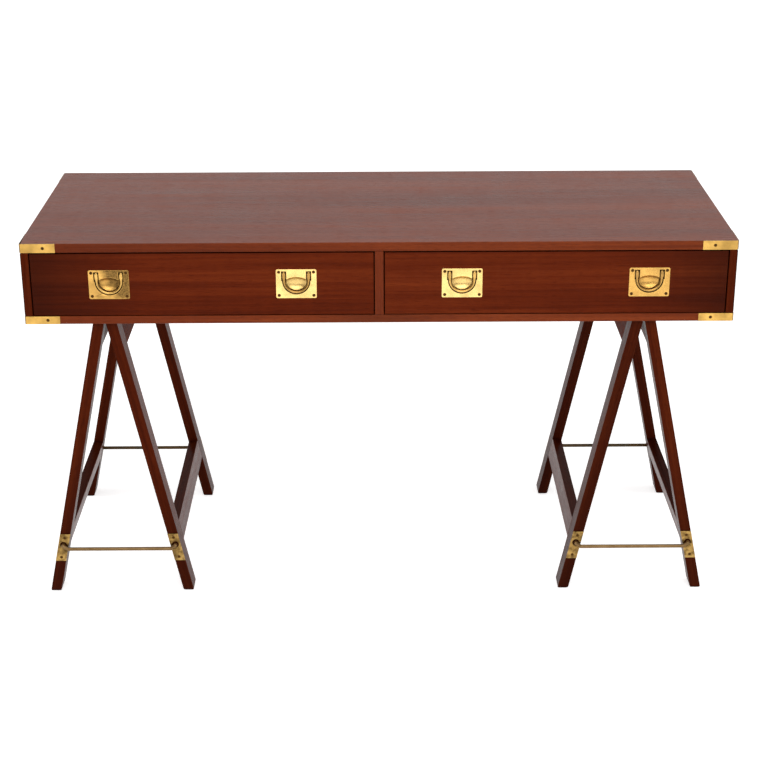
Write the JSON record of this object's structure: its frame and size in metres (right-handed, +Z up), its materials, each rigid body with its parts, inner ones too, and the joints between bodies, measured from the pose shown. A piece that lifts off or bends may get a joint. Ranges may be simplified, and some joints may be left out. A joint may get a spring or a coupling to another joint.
{
  "type": "campaign desk",
  "caption": "Shallow mahogany writing case with flush-pull drawers and brass corner straps, standing on folding A-frame trestles held open by brass stay rods.",
  "frame": {"origin": "on the floor, under the middle of the case", "axes": "+X along the desk towards its right end as seen from the drawers, +Y from the drawers to the back, +Z up"},
  "size_m": [1.3808, 0.5288, 0.76],
  "materials": {
    "mahogany": "semi-gloss lacquer over straight-grained red-brown wood",
    "drawer_lining": "plain waxed wood",
    "brass": "polished, lightly tarnished"
  },
  "bodies": {
    "case": {"back_panel": "mahogany", "bottom_board": "mahogany", "centre_divider": "mahogany", "corner_straps": "brass", "drawer_stops": "drawer_lining", "left_end": "mahogany", "right_end": "mahogany", "strap_screws": "brass", "top_board": "mahogany"},
    "left_drawer": {"left_drawer_back": "drawer_lining", "left_drawer_bottom": "drawer_lining", "left_drawer_front": "mahogany", "left_drawer_left_side": "drawer_lining", "left_drawer_pull_plates": "brass", "left_drawer_pull_screws": "brass", "left_drawer_right_side": "drawer_lining"},
    "left_drawer_left_bail": {"left_drawer_left_bail": "brass"},
    "left_drawer_right_bail": {"left_drawer_right_bail": "brass"},
    "right_drawer": {"right_drawer_back": "drawer_lining", "right_drawer_bottom": "drawer_lining", "right_drawer_front": "mahogany", "right_drawer_left_side": "drawer_lining", "right_drawer_pull_plates": "brass", "right_drawer_pull_screws": "brass", "right_drawer_right_side": "drawer_lining"},
    "right_drawer_left_bail": {"right_drawer_left_bail": "brass"},
    "right_drawer_right_bail": {"right_drawer_right_bail": "brass"},
    "left_outer_frame": {"left_outer_fasteners": "brass", "left_outer_front_leg": "mahogany", "left_outer_hinge_leaves": "brass", "left_outer_rear_leg": "mahogany", "left_outer_stay_plates": "brass", "left_outer_stretcher": "mahogany", "left_outer_top_rail": "mahogany"},
    "left_inner_frame": {"left_inner_fasteners": "brass", "left_inner_front_leg": "mahogany", "left_inner_hinge_leaves": "brass", "left_inner_rear_leg": "mahogany", "left_inner_stay_plates": "brass", "left_inner_stretcher": "mahogany", "left_inner_top_rail": "mahogany"},
    "left_front_stay_rod": {"left_front_stay_rod": "brass"},
    "left_rear_stay_rod": {"left_rear_stay_rod": "brass"},
    "right_outer_frame": {"right_outer_fasteners": "brass", "right_outer_front_leg": "mahogany", "right_outer_hinge_leaves": "brass", "right_outer_rear_leg": "mahogany", "right_outer_stay_plates": "brass", "right_outer_stretcher": "mahogany", "right_outer_top_rail": "mahogany"},
    "right_inner_frame": {"right_inner_fasteners": "brass", "right_inner_front_leg": "mahogany", "right_inner_hinge_leaves": "brass", "right_inner_rear_leg": "mahogany", "right_inner_stay_plates": "brass", "right_inner_stretcher": "mahogany", "right_inner_top_rail": "mahogany"},
    "right_front_stay_rod": {"right_front_stay_rod": "brass"},
    "right_rear_stay_rod": {"right_rear_stay_rod": "brass"}
  },
  "joints": [
    {"name": "left_drawer_slide", "type": "slide", "parent": "case", "child": "left_drawer", "axis": [0, -1, 0], "range_m": [0, 0.38]},
    {"name": "left_drawer_left_bail_swing", "type": "hinge", "parent": "left_drawer", "child": "left_drawer_left_bail", "pos_m": [-0.52225, -0.26, 0.6971], "axis": [-1, 0, 0], "range_deg": [0, 90]},
    {"name": "left_drawer_right_bail_swing", "type": "hinge", "parent": "left_drawer", "child": "left_drawer_right_bail", "pos_m": [-0.16025, -0.26, 0.6971], "axis": [-1, 0, 0], "range_deg": [0, 90]},
    {"name": "right_drawer_slide", "type": "slide", "parent": "case", "child": "right_drawer", "axis": [0, -1, 0], "range_m": [0, 0.38]},
    {"name": "right_drawer_left_bail_swing", "type": "hinge", "parent": "right_drawer", "child": "right_drawer_left_bail", "pos_m": [0.16025, -0.26, 0.6971], "axis": [-1, 0, 0], "range_deg": [0, 90]},
    {"name": "right_drawer_right_bail_swing", "type": "hinge", "parent": "right_drawer", "child": "right_drawer_right_bail", "pos_m": [0.52225, -0.26, 0.6971], "axis": [-1, 0, 0], "range_deg": [0, 90]},
    {"name": "left_trestle_lift_off", "type": "slide", "parent": "case", "child": "left_outer_frame", "axis": [0, 0, -1], "range_m": [0, 0.06]},
    {"name": "left_trestle_fold", "type": "hinge", "parent": "left_outer_frame", "child": "left_inner_frame", "pos_m": [-0.5375, 0, 0.592], "axis": [0, 1, 0], "range_deg": [0, 24]},
    {"name": "left_front_stay_rod_swing", "type": "hinge", "parent": "left_outer_frame", "child": "left_front_stay_rod", "pos_m": [-0.65291, -0.249, 0.1087], "axis": [0, -1, 0], "range_deg": [0, 78]},
    {"name": "left_rear_stay_rod_swing", "type": "hinge", "parent": "left_outer_frame", "child": "left_rear_stay_rod", "pos_m": [-0.65291, 0.249, 0.1087], "axis": [0, -1, 0], "range_deg": [0, 78]},
    {"name": "right_trestle_lift_off", "type": "slide", "parent": "case", "child": "right_outer_frame", "axis": [0, 0, -1], "range_m": [0, 0.06]},
    {"name": "right_trestle_fold", "type": "hinge", "parent": "right_outer_frame", "child": "right_inner_frame", "pos_m": [0.5185, 0, 0.592], "axis": [0, -1, 0], "range_deg": [0, 24]},
    {"name": "right_front_stay_rod_swing", "type": "hinge", "parent": "right_outer_frame", "child": "right_front_stay_rod", "pos_m": [0.63391, -0.249, 0.1087], "axis": [0, 1, 0], "range_deg": [0, 78]},
    {"name": "right_rear_stay_rod_swing", "type": "hinge", "parent": "right_outer_frame", "child": "right_rear_stay_rod", "pos_m": [0.63391, 0.249, 0.1087], "axis": [0, 1, 0], "range_deg": [0, 78]}
  ],
  "couplings": [
    {"joint": "left_front_stay_rod_swing", "follows": "left_trestle_fold", "ratio": 3.25},
    {"joint": "left_rear_stay_rod_swing", "follows": "left_trestle_fold", "ratio": 3.25},
    {"joint": "right_front_stay_rod_swing", "follows": "right_trestle_fold", "ratio": 3.25},
    {"joint": "right_rear_stay_rod_swing", "follows": "right_trestle_fold", "ratio": 3.25}
  ]
}
